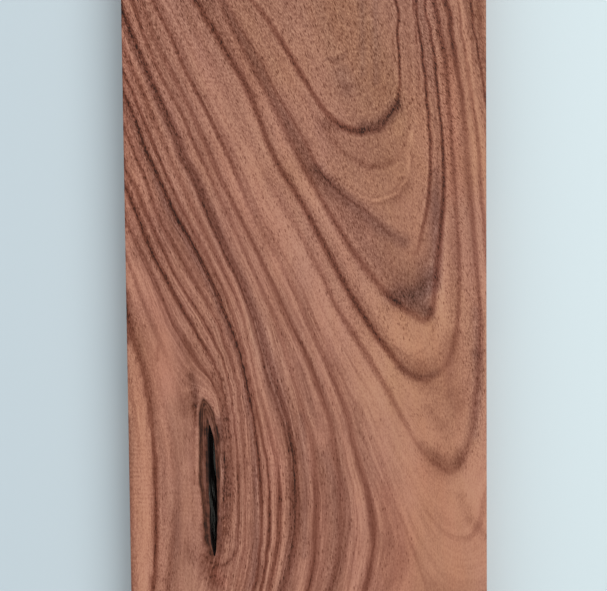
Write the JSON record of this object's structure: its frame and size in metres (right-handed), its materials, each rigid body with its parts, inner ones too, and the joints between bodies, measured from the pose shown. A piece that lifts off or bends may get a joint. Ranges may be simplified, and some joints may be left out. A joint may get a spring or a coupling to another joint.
{
  "type": "bolivian rosewood board",
  "caption": "Planed flat-sawn rosewood plank with nested arch figure, straight dark streaks along one side and an open knot pocket in its show face; lies flat",
  "frame": {"origin": "centre of the back face, on the surface that the board lies on", "axes": "+Y along the grain, towards the end that is nearer the open side of the nested arches; +X across the board, away from the knot; +Z out of the planed show face"},
  "size_m": [0.178, 0.61, 0.024],
  "materials": {
    "rosewood": "planed bare wood, satin, dark growth lines and open pores"
  },
  "bodies": {
    "root": {"board": "rosewood"}
  },
  "joints": []
}
